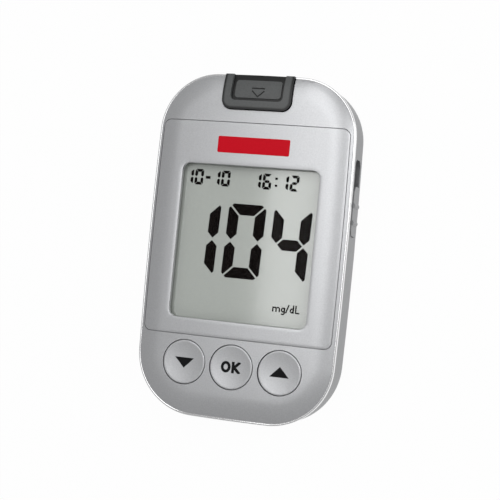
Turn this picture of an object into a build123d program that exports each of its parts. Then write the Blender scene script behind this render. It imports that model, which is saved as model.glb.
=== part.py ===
from build123d import *
import copy
import math
import os

# Pocket blood glucose meter, in millimetres. It lies on its back: X across, Y towards the strip
# port, Z up through the display. The origin is the middle of the footprint, on the surface below.

# ---------------------------------------------------------------- driving dimensions
# Plastic and running fits
wall = 1.8
seam = 0.25
slide_gap = 0.2
seat_gap = 0.05
merge = 0.3
open_end = 1.0

# Cells and their bay
cell_diameter = 10.5
cell_length = 44.5
nub_length = 0.8
nub_radius = 1.9
sleeve = 0.1
sleeve_setback = 0.3
cell_spacing = 0.7
bay_clearance = 0.65
bay_side_wall = 0.9
bay_end_wall = 1.2
bay_ceiling = 0.6
bay_headroom = 0.15
contact_sheet = 0.3
contact_bump = 0.2
contact_bump_inset = 0.3
contact_width = 7.2
contact_tail_width = 2.0
spring_room = 2.3
battery_coil_radius = 2.4
battery_wire = 0.45
battery_turns = 3
bay_sill = 0.35
bay_rise = 3.75

# Battery cover
cover_thickness = 1.5
cover_gap = 0.1
cell_lift = 1.15
cover_half_width = 22.6
cover_end_rise = 4.5
cover_overlap = 0.7
deck = 1.3
deck_margin = 1.8
tongue_reach = 0.9
tongue_height = 0.8
tongue_length = 4.0
tongue_root = 1.4
tongue_lap = 1.0
lower_tongue_drop = 5.0
grip_half_width = 8.0
grip_width = 1.0
grip_depth = 0.35
grip_pitch = 2.2
grip_setback = 4.5
grip_count = 3

# Board and what rides on it
board_gap = 0.1
board_thickness = 1.0
board_side_room = 2.2
board_shoulder = 2.0
board_neck_gap = 1.8
board_notch = 3.3
chip_spot = (3.0, 14.0)
chip_size = 9.0
chip_height = 1.05
chip_lift = 0.15
chip_leg_reach = 0.9
chip_leg_width = 0.4
chip_leg_height = 0.6
chip_leg_pitch = 1.0
chip_legs = 8
buzzer_spot = (-12.5, 12.0)
buzzer_radius = 6.0
buzzer_height = 2.6
buzzer_hole_radius = 1.0
buzzer_hole_depth = 0.8
component_list = [
    (3.0, 24.5, 4.0, 3.0, 1.2),
    (-6.0, 24.0, 3.2, 1.6, 0.9),
    (-10.0, 24.0, 1.6, 0.8, 0.6),
    (10.5, 24.0, 5.0, 2.0, 1.6),
    (14.0, 17.0, 1.6, 0.8, 0.6),
    (14.0, 15.0, 1.6, 0.8, 0.6),
    (14.0, 13.0, 1.6, 0.8, 0.6),
    (14.0, 8.0, 3.0, 2.6, 1.1),
    (-4.0, 31.0, 5.0, 4.0, 1.2),
    (4.0, 31.0, 1.6, 0.8, 0.6),
    (7.0, 31.0, 1.6, 0.8, 0.6),
    (-15.0, -29.0, 1.6, 0.8, 0.6),
    (0.0, -29.0, 3.0, 1.6, 0.9),
    (15.0, -29.0, 1.6, 0.8, 0.6),
]
display_standoff = 1.35
reflector_thickness = 0.1
rear_glass_thickness = 0.65
segment_thickness = 0.05
front_glass_thickness = 0.7
gasket_thickness = 0.4
lens_thickness = 1.0
lens_recess = 0.75

# Display
window_width = 40.0
window_height = 43.6
window_corner = 2.2
lens_margin = 0.9
lens_corner = 1.0
glass_margin = 0.8
glass_side_extra = 0.2
gasket_inset = 0.3
contact_ledge = 1.8
holder_wall = 1.2
holder_shelf = 1.0
zebra_gap = 0.2
zebra_inset = 0.5

# Figures on the display
figure_lean = 1.6
large_width = 11.0
large_height = 20.9
large_stroke = 3.1
large_gap = 0.5
large_figure_pitch = 13.3
large_figure_x = -0.7
large_figure_drop = 20.9
small_width = 2.45
small_height = 4.35
small_stroke = 0.66
small_gap = 0.16
small_figure_drop = 3.65
date_x = -18.7
time_x = 1.4
figure_step = 2.98
mark_step = 2.0
mark_back = 0.3
dash_width = 1.4
dot_size = 0.6
dot_rise = 0.98
unit_x = 9.6
unit_rise = 4.1
unit_size = 2.25

# Face panel
panel_thickness = 1.2
panel_side_margin = 1.55
panel_corner = 1.8
panel_head = 11.9
panel_chin = 4.5
front_skin = 2.6
crown_radius = 650.0
roll_radius = 16.0
roll_width = 7.4
rim_radius = 1.0
rim_width = 0.6
rim_depth = 1.4
shell_height = 3.25

# Plan of the case
side_bow = 0.8
end_bow = 0.6
head_corner = 16.6
chin_corner = 17.8
back_edge = 8.0
lip_height = 1.2
parting_groove = 0.3

# Buttons
button_radius = 6.15
button_gap = 0.2
button_pitch = 13.9
button_travel = 0.6
button_panel_gap = 1.55
button_end_margin = 8.65
button_flange = 0.6
button_edge = 0.25
key_width = 1.5
key_length = 0.9
guide_rib = 0.7
guide_length = 1.2
guide_height = 1.9
guide_gap = 0.1
dish_depth = 0.25
dish_radius = 60.0
legend_depth = 0.15
legend_stroke = 0.8
letter_height = 3.2
letter_width = 2.8
letter_gap = 0.3
arm_spread = 0.35
arrow_half_width = 2.8
arrow_height = 2.9
arrow_lead = 0.25
dome_radius = 3.4
dome_height = 0.9
dome_wall = 0.35
dome_roof = 0.3
dome_taper = 1.4
pill_radius = 0.9
pad_radius = 1.5
pad_thickness = 0.05
pad_split = 0.3
sheet_thickness = 0.4
sheet_margin = 2.9
sheet_top_margin = 2.6
sheet_bottom_margin = 0.4

# Strip port
port_half_width = 10.0
port_length = 10.0
port_corner = 2.6
port_rim = 2.4
port_proud = 0.9
port_overhang = 0.1
port_recess = 0.5
port_recess_corner = 1.4
port_pad_depth = 0.15
port_pad_corner = 0.9
port_pad_setback = 1.6
port_groove = 0.9
port_skin = 1.4
port_flange = 0.6
port_flange_reach = 1.2
port_end_wall = 2.2
port_roof = 0.5
mark_depth = 0.2
mark_stroke = 0.4
mark_half_width = 1.9
mark_setback = 3.9
mark_arrow_gap = 0.7
mark_arrow_height = 1.7
connector_length = 9.0
connector_half_width = 6.2
connector_height = 1.7
strip_half_width = 4.3
strip_slot = 0.7
strip_floor = 0.5
mouth_gap = 0.1
mouth_flare = 0.7
mouth_side_flare = 0.8
mouth_depth = 1.3
contact_pitch = 2.6
contact_blade_width = 0.7
contact_blade_depth = 0.2
contact_setback = 2.0
contact_leg = 0.4
contact_foot = 1.2
contact_foot_thickness = 0.15

# Ejector
eject_travel = 7.0
slider_length = 13.8
slider_height = 6.2
slider_proud = 0.15
rib_proud = 0.5
rib_width = 1.5
rib_pitch = 4.8
rib_setback = 0.4
rib_offset = 0.8
pin_radius = 0.7
pin_gap = 0.02
slot_setback = 21.3
slot_corner = 2.2
end_clearances = 3.5
slot_below_parting = 1.25
shutter = 0.8
shutter_gap = 1.3
shutter_overlap = 0.6
channel_margin = 1.5
channel_wall = 0.8
lug_margin = 0.6
arm_width = 3.0
arm_thickness = 0.9
arm_gap = 1.4
leg_width = 1.3
leg_run = 2.0
pusher_half_width = 2.0
pusher_gap = 0.6
pusher_play = 0.12
holder_gap = 1.0
return_coil_radius = 1.3
return_wire = 0.35
coil_length = 12.5
return_turns = 7
spring_seat = 1.5
spring_post_half_width = 1.6
spring_gap = 0.7
spring_setback = 2.5
spring_pin_gap = 0.15
spring_pin_reach = 1.2
spring_pin_root = 0.5

# Fasteners
screw_radius = 1.1
screw_head_radius = 2.0
screw_head_height = 1.4
screw_length = 10.0
screw_gap = 0.1
thread_gap = 0.02
bore_spare = 0.3
cross_width = 0.5
cross_reach = 1.1
post_radius = 2.4
boss_wall = 0.9
boss_floor = 0.7
joint_z = 8.0
upper_screw_inset = 10.0
upper_screw_setback = 9.0
lower_screw_rise = 7.8
board_screw_radius = 0.8
board_screw_head_radius = 1.6
board_screw_head_height = 1.2
board_screw_reach = 2.0
board_screw_rise = 4.9
lower_board_screw_inset = 0.5
upper_board_screw_inset = 5.3
board_post_radius = 1.8

# Labels
front_label_width = 20.9
front_label_height = 4.6
front_label_setback = 3.9
front_label_corner = 0.4
front_label_x = 0.3
label_thickness = 0.08
label_gap = 0.1
label_sink = 0.07
rating_width = 34.0
rating_height = 18.0
rating_corner = 0.6
rating_gap = 5.0

# ---------------------------------------------------------------- worked out from them
# Heights, from the back (z = 0) up to the crown of the face
cover_inner_z = cover_thickness
recess_depth = cover_thickness + cover_gap
cell_z = cover_inner_z + cell_lift + cell_diameter / 2
bay_top_z = cell_z + cell_diameter / 2 + bay_headroom
board_bottom_z = bay_top_z + bay_ceiling + board_gap
board_top_z = board_bottom_z + board_thickness
reflector_z = board_top_z + display_standoff
rear_glass_z = reflector_z + reflector_thickness
segment_z = rear_glass_z + rear_glass_thickness
front_glass_z = segment_z + segment_thickness
gasket_z = front_glass_z + front_glass_thickness
lens_z = gasket_z + gasket_thickness
lens_top_z = lens_z + lens_thickness
case_height = lens_top_z + lens_recess
parting_z = case_height - shell_height
skin_z = case_height - front_skin
rim_z = case_height - rim_depth

# Widths, from the middle out to the side wall
bay_half = (cell_length + spring_room + 2 * contact_sheet + contact_bump) / 2
bay_outer = bay_half + bay_side_wall
shutter_inner_x = bay_outer + board_gap + slide_gap
shutter_outer_x = shutter_inner_x + shutter
inner_x = shutter_outer_x + shutter_gap
case_half_width = inner_x + wall

# Lengths, from the strip port down to the bottom end
hole_radius = button_radius + button_gap
head_length = (
    port_end_wall + slide_gap + connector_length + arm_gap + eject_travel + arm_width
    + holder_gap + holder_wall + glass_margin
)
chin_length = panel_chin + button_panel_gap + 2 * hole_radius + button_end_margin
case_length = head_length + window_height + chin_length
top_y = case_length / 2
bottom_y = -top_y
side_radius = ((top_y - end_bow) ** 2 + side_bow**2) / (2 * side_bow)
end_radius = ((case_half_width - side_bow) ** 2 + end_bow**2) / (2 * end_bow)
window_top_y = top_y - head_length
window_bottom_y = window_top_y - window_height
window_y = (window_top_y + window_bottom_y) / 2
panel_top_y = window_top_y + panel_head
panel_bottom_y = window_bottom_y - panel_chin
button_y = panel_bottom_y - button_panel_gap - hole_radius
connector_front_y = top_y - port_end_wall - slide_gap
connector_back_y = connector_front_y - connector_length
arm_y = connector_back_y - arm_gap - eject_travel - arm_width
port_y = top_y - port_length
glass_top_y = window_top_y + glass_margin
rear_glass_bottom_y = window_bottom_y - glass_margin
front_glass_bottom_y = rear_glass_bottom_y - contact_ledge
glass_half_width = window_width / 2 + glass_margin + glass_side_extra
holder_half_width = glass_half_width + slide_gap + holder_wall
holder_top_y = glass_top_y + slide_gap + holder_wall
holder_bottom_y = front_glass_bottom_y - slide_gap - holder_wall
keypad_top_y = button_y + dome_radius + sheet_top_margin
keypad_bottom_y = button_y - dome_radius - sheet_bottom_margin

# Bay, under the lower half of the display
bay_height = 2 * cell_diameter + cell_spacing + 2 * bay_clearance
bay_bottom_y = button_y + hole_radius + bay_rise
bay_top_y = bay_bottom_y + bay_height
lower_cell_y = bay_bottom_y + bay_clearance + cell_diameter / 2
upper_cell_y = lower_cell_y + cell_diameter + cell_spacing
cover_top_y = bay_top_y + bay_end_wall + cover_overlap
board_left_x = -(bay_outer - slide_gap)
board_right_x = shutter_inner_x - board_side_room
board_top_y = connector_front_y - slide_gap
board_notch_y = bay_top_y - board_notch
board_shoulder_y = connector_back_y - board_shoulder

# Figures of the display
large_figure_y = window_top_y - large_figure_drop
small_figure_y = window_top_y - small_figure_drop
unit_y = window_bottom_y + unit_rise

# Ejector heights and lengths
slot_top_z = parting_z - slot_below_parting
slot_height = slider_height + 2 * slide_gap
slot_bottom_z = slot_top_z - slot_height
slot_length = slider_length + eject_travel + end_clearances * slide_gap
slot_top_y = top_y - slot_setback
slot_bottom_y = slot_top_y - slot_length
slider_y = slot_bottom_y + slide_gap
rib_y = slider_y + slider_length / 2 - rib_offset
channel_z = board_top_z + strip_floor
arm_z = board_top_z + slide_gap
lug_z = slot_bottom_z + channel_wall
lug_top_z = board_bottom_z - lug_margin
leg_x = board_right_x + slide_gap
coil_x = shutter_inner_x - spring_gap - return_coil_radius
coil_z = (lug_z + lug_top_z) / 2
coil_bottom_y = slider_y + spring_setback
port_bottom_z = board_bottom_z - board_thickness
button_bottom_z = board_top_z + sheet_thickness + dome_height
zebra_y = (front_glass_bottom_y + zebra_gap, rear_glass_bottom_y - zebra_gap)
tongue_z = cover_inner_z + seat_gap
tongue_reach_x = cover_half_width + tongue_reach
upper_tongue_y = (upper_cell_y + lower_cell_y) / 2
lower_tongue_y = bay_bottom_y - lower_tongue_drop
rating_y = cover_top_y + rating_gap + rating_height / 2
button_places = (-button_pitch, 0, button_pitch)
contact_places = (-contact_pitch, 0, contact_pitch)

# Screws
upper_screw_x = case_half_width - upper_screw_inset
upper_screw_y = top_y - upper_screw_setback
lower_screw_x = button_pitch / 2
lower_screw_y = bottom_y + lower_screw_rise
housing_screw_spots = [
    (upper_screw_x, upper_screw_y),
    (-upper_screw_x, upper_screw_y),
    (lower_screw_x, lower_screw_y),
    (-lower_screw_x, lower_screw_y),
]
board_neck = upper_screw_x - post_radius - board_neck_gap
head_seat_z = recess_depth + deck + boss_floor
board_screw_top_z = board_top_z + board_screw_reach
board_screw_spots = [
    (board_right_x - lower_board_screw_inset, button_y + board_screw_rise),
    (-board_right_x + lower_board_screw_inset, button_y + board_screw_rise),
    (board_left_x + upper_board_screw_inset, holder_top_y + board_screw_rise),
]


# ---------------------------------------------------------------- small helpers
def face_drop(x):
    """How far the crown lies below the middle of the face."""
    return crown_radius - math.sqrt(crown_radius**2 - x**2)


def box(x, y, z):
    """Block between pairs of limits."""
    size = (x[1] - x[0], y[1] - y[0], z[1] - z[0])
    middle = ((x[0] + x[1]) / 2, (y[0] + y[1]) / 2, (z[0] + z[1]) / 2)
    return Pos(*middle) * Box(*size)


def mirrored(x, y, z):
    """Block that is symmetric about x = 0, with half width x."""
    return box((-x, x), y, z)


def rod(x, y, radius, z):
    """Upright cylinder between two heights."""
    return Pos(x, y, (z[0] + z[1]) / 2) * Cylinder(radius, z[1] - z[0])


def cross_rod(x, y, radius, z):
    """Cylinder along X between two places."""
    return Pos((x[0] + x[1]) / 2, y, z) * Rot(0, 90, 0) * Cylinder(radius, x[1] - x[0])


def slab(plan, z):
    """Plan drawn up from one height to another."""
    return Pos(0, 0, z[0]) * extrude(plan, z[1] - z[0])


def band_plan(half, y):
    """Rectangle that is symmetric about x = 0, with half its width."""
    return Pos(0, (y[0] + y[1]) / 2) * Rectangle(2 * half, y[1] - y[0])


def rounded(width, height, radius, x=0.0, y=0.0):
    """Rounded rectangle with its centre at x, y."""
    return Pos(x, y) * RectangleRounded(width, height, radius)


def pen(points, width):
    """Strokes of one width along a run of points, with round joints."""
    drawn = Sketch()
    for start, end in zip(points, points[1:]):
        run = math.dist(start, end)
        turn = math.degrees(math.atan2(end[1] - start[1], end[0] - start[0]))
        middle = ((start[0] + end[0]) / 2, (start[1] + end[1]) / 2)
        drawn += Pos(*middle) * Rot(0, 0, turn) * Rectangle(run, width)
    for joint in points[1:-1]:
        drawn += Pos(*joint) * Circle(width / 2)
    return drawn


def ring(x, y, half_width, half_height, width):
    """Oval ring whose stroke has one width."""
    outer = Ellipse(half_width, half_height)
    inner = Ellipse(half_width - width, half_height - width)
    return Pos(x, y) * (outer - inner)


def save(name, shape):
    """Write one node."""
    shape.label = name
    export_step(shape, os.path.join("parts", name + ".step"))


# ---------------------------------------------------------------- forms that the shells share
def side_meeting(distance):
    """Corner where the bowed sides would meet, once they are moved in by a distance."""
    end = end_radius - distance
    side = side_radius - distance
    end_y = top_y - end_radius
    side_x = case_half_width - side_radius
    apart = math.hypot(side_x, end_y)
    along = (end**2 - side**2 + apart**2) / (2 * apart)
    off = math.sqrt(end**2 - along**2)
    x = (along * side_x - off * end_y) / apart
    y = end_y - (along * end_y + off * side_x) / apart
    return x, y


def inset_plan(distance):
    """Plan of the case, moved in by a distance: four bowed sides, rounded where they meet."""
    x, y = side_meeting(distance)
    top = top_y - distance
    side = case_half_width - distance
    sides = [
        ThreePointArc((x, y), (0, top), (-x, y)),
        ThreePointArc((-x, y), (-side, 0), (-x, -y)),
        ThreePointArc((-x, -y), (0, -top), (x, -y)),
        ThreePointArc((x, -y), (side, 0), (x, y)),
    ]
    plan = make_face(sides)
    plan = fillet(plan.vertices().sort_by(Axis.Y)[2:], head_corner - distance)
    lower = [v for v in plan.vertices() if v.Y < -y + side_bow and abs(v.X) > x - side_bow]
    return fillet(lower, chin_corner - distance)


outline = inset_plan(0)


def crowned(plan, top_z, rounding):
    """Block with a crowned top, whose upper edge is rounded all the way round."""
    block = extrude(plan, top_z)
    crown = Cylinder(crown_radius, 2 * case_length)
    block &= Pos(0, 0, top_z - crown_radius) * Rot(90, 0, 0) * crown
    top = block.faces().sort_by(Axis.Z)[-1]
    return fillet(top.edges(), rounding)


blank = crowned(inset_plan(roll_width - roll_radius), case_height, roll_radius)


def under_face(depth):
    """All that lies deeper than this below the face, sharing no surface with other cuts."""
    return Pos(0, 0, -depth) * copy.deepcopy(blank)


def rear_form(inset):
    """Outer form of the rear half, or the surface that lies this far inside it."""
    form = slab(inset_plan(inset), (inset, parting_z))
    bottom = form.faces().sort_by(Axis.Z)[0]
    return fillet(bottom.edges(), back_edge - inset)


rear_block = rear_form(0)


def rear_outer():
    """Outer form of the rear half, sharing no surface with other cuts."""
    return copy.deepcopy(rear_block)


def panel_plan(growth):
    """Plan of the face panel, or of the pocket that is larger all round."""
    band_height = panel_top_y - panel_bottom_y + 2 * growth
    band_y = (panel_top_y + panel_bottom_y) / 2
    band = Pos(0, band_y) * Rectangle(2 * case_half_width, band_height)
    plan = inset_plan(panel_side_margin - growth) & band
    corners = [v for v in plan.vertices() if abs(abs(v.Y - band_y) - band_height / 2) < seat_gap]
    return fillet(corners, panel_corner + growth)


def port_plan(growth):
    """Plan of the strip port guide: open at the top end, rounded below."""
    height = 2 * port_length
    width = 2 * (port_half_width + growth)
    plan = rounded(width, height + 2 * growth, port_corner + growth, 0, port_y + height / 2)
    return plan


# ---------------------------------------------------------------- shells
def rim_cut():
    """Sliver that rounds the edge between the side wall and the face."""
    band = inset_plan(-open_end) - inset_plan(rim_width)
    rounded_block = crowned(outline, rim_z, rim_radius)
    return slab(band, (parting_z + slide_gap, case_height + open_end)) - rounded_block


def button_guides(x):
    """Two ribs under the face, which keep a button from turning."""
    guides = Part()
    inner = button_y - hole_radius - button_flange - guide_gap
    z = (skin_z + merge - guide_height, skin_z + merge)
    for side in (-1, 1):
        near = x + side * (key_width / 2 + slide_gap)
        far = near + side * guide_rib
        limits = (min(near, far), max(near, far))
        guides += box(limits, (inner - guide_length, inner), z)
    return guides


def make_front_shell():
    tall = case_height + open_end
    body = under_face(0) & slab(outline, (parting_z, tall))
    body -= rim_cut()
    cavity = under_face(front_skin) & slab(inset_plan(wall), (0, case_height))
    body -= cavity
    lip_plan = inset_plan(wall / 2 + seat_gap) - inset_plan(wall)
    body += slab(lip_plan, (parting_z - lip_height, parting_z + merge))
    pocket = slab(panel_plan(seam), (0, tall)) - under_face(panel_thickness + seat_gap)
    body -= pocket
    body -= display_opening()
    body -= slab(port_plan(seam), (0, tall))
    for x in button_places:
        body -= rod(x, button_y, hole_radius, (0, tall))
        body += button_guides(x)
    posts = Part()
    for x, y in housing_screw_spots:
        posts += rod(x, y, post_radius, (joint_z, skin_z + merge))
    for x, y in board_screw_spots:
        posts += rod(x, y, board_post_radius, (board_top_z, skin_z + merge))
    body += posts & under_face(panel_thickness + 2 * slide_gap)
    for x, y in housing_screw_spots:
        body -= rod(x, y, screw_radius + thread_gap, (0, head_seat_z + screw_length + bore_spare))
    for x, y in board_screw_spots:
        body -= rod(x, y, board_screw_radius + thread_gap, (0, board_screw_top_z + bore_spare))
    return body


def display_opening():
    """Opening in the front shell that the lens, gasket and front glass sit in."""
    y = (front_glass_bottom_y - slide_gap, glass_top_y + slide_gap)
    return mirrored(glass_half_width + slide_gap, y, (0, case_height + open_end))


def make_rear_shell():
    body = rear_outer() - rear_form(wall)
    body += deck_block()
    body += bay_block() & rear_outer()
    body += ejector_supports() & rear_outer()
    for x, y in housing_screw_spots:
        boss = rod(x, y, screw_head_radius + screw_gap + boss_wall, (0, joint_z - seat_gap))
        body += boss & rear_outer()
    bay_y = (bay_bottom_y, bay_top_y)
    body -= mirrored(bay_half, bay_y, (recess_depth + bay_sill, bay_top_z))
    body -= mirrored(cover_half_width + cover_gap, bay_y, (-open_end, bay_top_z))
    body -= cover_recess()
    body -= tongue_groove()
    for x, y in housing_screw_spots:
        body -= rod(x, y, screw_radius + slide_gap, (0, joint_z + open_end))
        body -= rod(x, y, screw_head_radius + screw_gap, (-open_end, head_seat_z))
    body -= slider_slot()
    body -= slab(port_plan(seam), (port_bottom_z - seam, parting_z + open_end))
    rebate = inset_plan(wall / 2) - inset_plan(wall + open_end)
    body -= slab(rebate, (parting_z - lip_height - 2 * seat_gap, parting_z + open_end))
    groove = inset_plan(-open_end) - inset_plan(parting_groove)
    body -= slab(groove, (parting_z - parting_groove, parting_z + open_end))
    for y in (upper_cell_y, lower_cell_y):
        body -= contact_tail(y, seat_gap)
    label_y = (rating_y - rating_height / 2 - label_gap, rating_y + rating_height / 2 + label_gap)
    label_z = (-open_end, label_sink + label_thickness)
    return body - mirrored(rating_width / 2 + label_gap, label_y, label_z)


def deck_block():
    """Second floor of the rear shell, above the battery cover and below the bay."""
    y = (bottom_y - open_end, bay_bottom_y)
    band = mirrored(cover_half_width + deck_margin, y, (-open_end, cover_end_rise + deck))
    return (rear_outer() & band) - rear_form(recess_depth + deck)


def bay_block():
    """Block around the cells, before it is hollowed out."""
    y = (bay_bottom_y - bay_end_wall, bay_top_y + bay_end_wall)
    return mirrored(bay_outer, y, (0, bay_top_z + bay_ceiling))


def cover_recess():
    """Room for the battery cover, open at the bottom end."""
    y = (bottom_y - open_end, cover_top_y + cover_gap)
    band = mirrored(cover_half_width + cover_gap, y, (-open_end, cover_end_rise + cover_gap))
    return band - rear_form(recess_depth)


def tongue_groove():
    """Grooves beside the cover in which its tongues slide out."""
    y = (bottom_y - open_end, upper_tongue_y + tongue_length / 2 + cover_gap)
    z = (tongue_z - cover_gap, tongue_z + tongue_height + cover_gap)
    reach = mirrored(tongue_reach_x + cover_gap, y, z)
    return reach - mirrored(cover_half_width - tongue_root - cover_gap, y, z)


def contact_tail(y, growth):
    """Tail of an end contact, or the slot for it in the bay's ceiling."""
    half = contact_tail_width / 2 + growth
    x = (bay_half - contact_sheet, bay_half + growth)
    return box(x, (y - half, y + half), (bay_top_z - merge, board_bottom_z))


def side_prism(plan, middle_y, x):
    """Plan drawn on the right-hand wall, long way along Y, and extruded across the wall."""
    wall_plane = Plane(
        origin=(x[0], middle_y, (slot_top_z + slot_bottom_z) / 2), x_dir=(0, 1, 0), z_dir=(1, 0, 0)
    )
    return extrude(wall_plane * plan, x[1] - x[0])


def slider_slot():
    """Slot in the right-hand wall, with round ends."""
    middle_y = slot_bottom_y + slot_length / 2
    plan = RectangleRounded(slot_length, slot_height, slot_corner)
    return side_prism(plan, middle_y, (inner_x - open_end, case_half_width + open_end))


def ejector_supports():
    """Channel that the shutter runs in, and the post that holds the return spring."""
    low_y = slot_bottom_y - shutter_overlap - eject_travel - channel_margin
    y = (low_y, slot_top_y + shutter_overlap + eject_travel + channel_margin)
    ledge_top = slot_bottom_z - shutter_overlap - slide_gap / 2
    channel_x = shutter_inner_x - channel_wall
    ledge = box((channel_x, case_half_width), y, (0, ledge_top))
    lip = box((channel_x, shutter_inner_x - slide_gap), y, (0, lug_z - slide_gap))
    post_x = (coil_x - spring_post_half_width, coil_x + spring_post_half_width)
    post_y = coil_bottom_y + coil_length
    post = box(post_x, (post_y, post_y + spring_seat), (0, lug_top_z))
    return ledge + lip + post + spring_pin((post_y - spring_pin_reach, post_y + spring_pin_root))


def spring_pin(y):
    """Pin that keeps an end of the return spring in place."""
    pin = Cylinder(return_coil_radius - return_wire - spring_pin_gap, y[1] - y[0])
    return Pos(coil_x, (y[0] + y[1]) / 2, coil_z) * Rot(90, 0, 0) * pin


def make_battery_cover():
    y = (bottom_y - open_end, cover_top_y)
    band = mirrored(cover_half_width, y, (-open_end, cover_end_rise))
    body = (rear_outer() - rear_form(cover_thickness)) & band
    top_z = tongue_z + tongue_height
    for side in (-1, 1):
        root = sorted((side * (cover_half_width - tongue_root), side * cover_half_width))
        tip = sorted((side * (cover_half_width - tongue_lap), side * tongue_reach_x))
        for y in (upper_tongue_y, lower_tongue_y):
            length = (y - tongue_length / 2, y + tongue_length / 2)
            body += box(root, length, (cover_thickness - merge, top_z))
            body += box(tip, length, (tongue_z, top_z))
    for step in range(grip_count):
        y = cover_top_y - grip_setback - grip_pitch * step
        groove_y = (y - grip_width / 2, y + grip_width / 2)
        body -= mirrored(grip_half_width, groove_y, (-open_end, grip_depth))
    return body


# ---------------------------------------------------------------- face
def make_face_panel():
    tall = case_height + open_end
    body = (under_face(0) & slab(panel_plan(0), (0, tall))) - under_face(panel_thickness)
    window = rounded(window_width, window_height, window_corner, 0, window_y)
    body -= slab(window, (0, tall))
    rebate_y = (window_bottom_y - lens_margin - seat_gap, window_top_y + lens_margin + seat_gap)
    body -= mirrored(window_width / 2 + lens_margin + seat_gap, rebate_y, (0, lens_top_z))
    return body


def make_display_window():
    width = window_width + 2 * lens_margin
    height = window_height + 2 * lens_margin
    return slab(rounded(width, height, lens_corner, 0, window_y), (lens_z, lens_top_z))


def make_front_label():
    y = panel_top_y - front_label_setback - front_label_height / 2
    plan = rounded(front_label_width, front_label_height, front_label_corner, front_label_x, y)
    raised = under_face(-label_thickness) - under_face(0)
    return raised & slab(plan, (parting_z, case_height + open_end))


def insertion_mark():
    """Bar and arrow head that show which way a test strip goes in."""
    bar_y = top_y - mark_setback
    bar = Pos(0, bar_y) * Rectangle(2 * mark_half_width, mark_stroke)
    wing_x = mark_half_width - mark_stroke / 4
    wing_y = bar_y - mark_arrow_gap
    points = [(-wing_x, wing_y), (0, wing_y - mark_arrow_height), (wing_x, wing_y)]
    return bar + pen(points, mark_stroke)


def make_strip_port_guide():
    tall = case_height + port_proud + open_end
    body = under_face(-port_proud) & slab(port_plan(0), (port_bottom_z, tall))
    body &= slab(inset_plan(-port_overhang), (0, tall))
    y = (port_y - port_flange_reach - open_end, top_y - port_end_wall)
    hollow_z = board_top_z + connector_height + port_roof
    body -= mirrored(port_half_width - port_skin, y, (0, hollow_z))
    body -= mirrored(port_half_width + open_end, y, (0, board_top_z + merge))
    depth = front_skin + seat_gap
    flange = under_face(depth) - under_face(depth + port_flange)
    flange_plan = port_plan(port_flange_reach) & band_plan(2 * port_half_width, y)
    flange_plan -= band_plan(port_half_width - port_skin, y)
    body += flange & slab(flange_plan, (0, tall))
    width = 2 * (port_half_width - port_rim)
    bottom = port_y + port_rim
    recess = rounded(width, 2 * port_length, port_recess_corner, 0, bottom + port_length)
    body -= slab(recess, (0, tall)) - under_face(port_recess)
    pad_height = port_length - port_rim - port_groove - port_pad_setback
    pad_y = bottom + port_groove + pad_height / 2
    pad = rounded(width - 2 * port_groove, pad_height, port_pad_corner, 0, pad_y)
    body += under_face(port_pad_depth) & slab(pad, (skin_z, tall))
    body -= slab(insertion_mark(), (0, tall)) - under_face(port_pad_depth + mark_depth)
    return body - strip_mouth()


def strip_mouth():
    """Slot in the end face, flared towards the outside."""
    slot_z = channel_z + strip_slot / 2
    half = strip_half_width + mouth_gap
    y = (top_y - port_end_wall - open_end, top_y + open_end)
    throat = mirrored(half, y, (channel_z, channel_z + strip_slot))
    inner = Plane(origin=(0, top_y - mouth_depth, slot_z), x_dir=(1, 0, 0), z_dir=(0, 1, 0))
    outer = Plane(origin=(0, top_y + open_end, slot_z), x_dir=(1, 0, 0), z_dir=(0, 1, 0))
    narrow = inner * Rectangle(2 * half, strip_slot)
    spread = (mouth_depth + open_end) / mouth_depth
    wide_x = 2 * (half + mouth_side_flare * spread)
    wide_z = strip_slot + 2 * mouth_flare * spread
    return throat + loft([narrow, outer * Rectangle(wide_x, wide_z)])


# ---------------------------------------------------------------- display
def window_plate(margin, z):
    """Plate that is larger than the window by a margin."""
    y = (window_bottom_y - margin, window_top_y + margin)
    return mirrored(window_width / 2 + margin, y, z)


def make_lcd_gasket():
    z = (gasket_z, lens_z)
    return window_plate(lens_margin, z) - window_plate(gasket_inset, (0, case_height))


def make_front_glass():
    y = (front_glass_bottom_y, glass_top_y)
    return mirrored(glass_half_width, y, (front_glass_z, gasket_z))


def make_rear_glass():
    y = (rear_glass_bottom_y, glass_top_y)
    return mirrored(glass_half_width, y, (rear_glass_z, segment_z))


def make_reflector():
    y = (rear_glass_bottom_y, glass_top_y)
    return mirrored(glass_half_width, y, (reflector_z, rear_glass_z))


def make_lcd_holder():
    y = (holder_bottom_y, holder_top_y)
    top_z = skin_z - face_drop(holder_half_width) - slide_gap
    body = mirrored(holder_half_width, y, (board_top_z, top_z))
    inner_y = (holder_bottom_y + holder_wall, holder_top_y - holder_wall)
    body -= mirrored(holder_half_width - holder_wall, inner_y, (0, case_height))
    shelf_x = holder_half_width - holder_wall
    shelf_y = (zebra_y[1] + seat_gap, inner_y[1])
    hollow_y = (shelf_y[0] + holder_shelf, shelf_y[1] - holder_shelf)
    shelf = mirrored(shelf_x, shelf_y, (board_top_z, reflector_z))
    return body + (shelf - mirrored(shelf_x - holder_shelf, hollow_y, (0, case_height)))


def make_zebra():
    return mirrored(window_width / 2 - zebra_inset, zebra_y, (board_top_z, front_glass_z))


# Seven-segment figures. The segments are named as usual: a on top, then clockwise to f, g inside.
figures = {"0": "abcdef", "1": "bc", "2": "abged", "4": "fgbc", "6": "acdefg"}


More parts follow.
